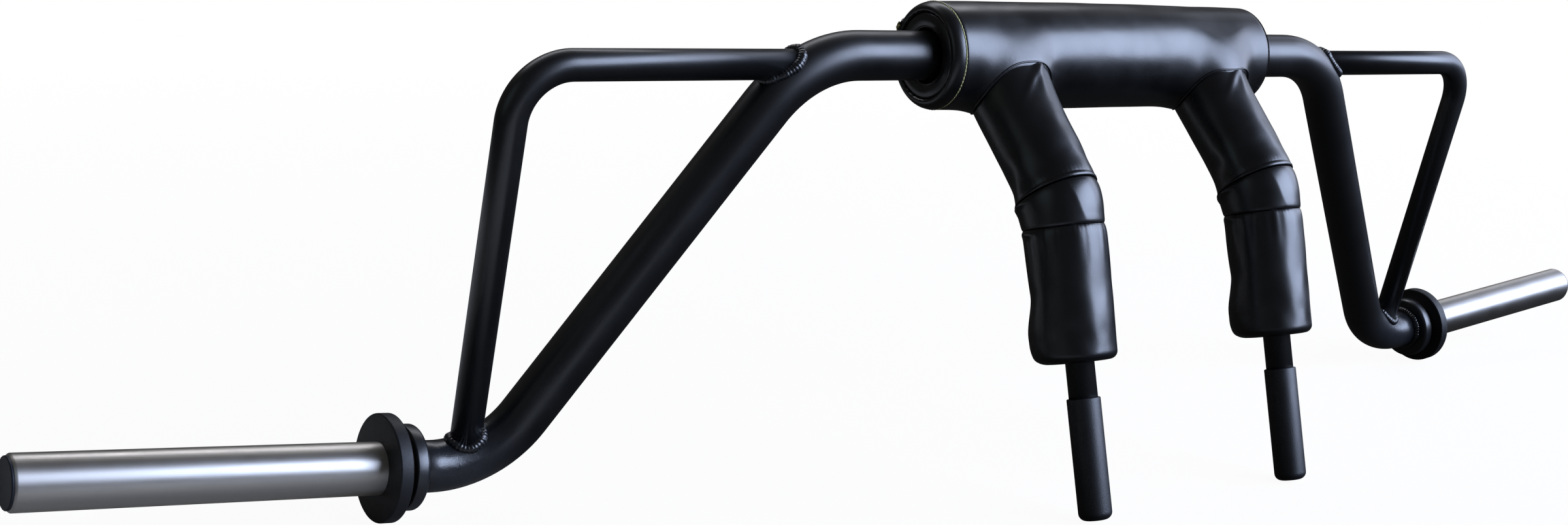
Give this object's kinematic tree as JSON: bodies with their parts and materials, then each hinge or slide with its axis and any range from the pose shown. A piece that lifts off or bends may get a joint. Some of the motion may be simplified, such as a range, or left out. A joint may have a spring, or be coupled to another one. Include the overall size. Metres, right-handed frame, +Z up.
{
  "type": "safety squat bar",
  "caption": "Cambered steel squat bar with a padded yoke, padded forward handles, braced legs, plate flanges and bright turning sleeves.",
  "frame": {"origin": "on the floor under the middle of the bar as it stands on its flanges and grips", "axes": "+X along the bar to the right sleeve, -Y towards the handles, +Z up"},
  "size_m": [2.2108, 0.3804, 0.4998],
  "materials": {
    "powder_coat": "satin black powder coat with faint orange peel",
    "flange_coat": "matt black coat over turned steel",
    "bright_steel": "polished bright steel sleeve",
    "shaft_steel": "turned steel",
    "bush_bronze": "sintered bronze",
    "zinc_plate": "zinc plated steel",
    "cap_plastic": "moulded black plastic",
    "cover_vinyl": "black leathercloth with a fine grain",
    "pad_foam": "closed cell foam",
    "grip_rubber": "matt black moulded rubber"
  },
  "bodies": {
    "frame": {"main_tube": "powder_coat", "pad_cover": "cover_vinyl", "pad_foam": "pad_foam", "pad_closure": "cover_vinyl", "brace_left": "powder_coat", "handle_tube_left": "powder_coat", "grip_left": "grip_rubber", "pad_end_left": "cover_vinyl", "cover_upper_left": "cover_vinyl", "cover_band_left": "cover_vinyl", "cover_lower_left": "cover_vinyl", "handle_foam_left": "pad_foam", "collar_left": "powder_coat", "stub_shaft_left": "shaft_steel", "thrust_washer_left": "bush_bronze", "keeper_washer_left": "zinc_plate", "keeper_bolt_left": "zinc_plate", "brace_right": "powder_coat", "handle_tube_right": "powder_coat", "grip_right": "grip_rubber", "pad_end_right": "cover_vinyl", "cover_upper_right": "cover_vinyl", "cover_band_right": "cover_vinyl", "cover_lower_right": "cover_vinyl", "handle_foam_right": "pad_foam", "collar_right": "powder_coat", "stub_shaft_right": "shaft_steel", "thrust_washer_right": "bush_bronze", "keeper_washer_right": "zinc_plate", "keeper_bolt_right": "zinc_plate"},
    "left_sleeve": {"flange_left": "flange_coat", "sleeve_left": "bright_steel", "inner_bush_left": "bush_bronze", "outer_bush_left": "bush_bronze", "end_cap_left": "cap_plastic"},
    "right_sleeve": {"flange_right": "flange_coat", "sleeve_right": "bright_steel", "inner_bush_right": "bush_bronze", "outer_bush_right": "bush_bronze", "end_cap_right": "cap_plastic"}
  },
  "joints": [
    {"name": "left_sleeve_spin", "type": "hinge", "parent": "frame", "child": "left_sleeve", "pos_m": [-0.67032, 0.14096, 0.04052], "axis": [-0.9941, -0.0222, 0.1066], "continuous": true},
    {"name": "right_sleeve_spin", "type": "hinge", "parent": "frame", "child": "right_sleeve", "pos_m": [0.67032, 0.14096, 0.04052], "axis": [0.9941, -0.0222, 0.1066], "continuous": true}
  ]
}
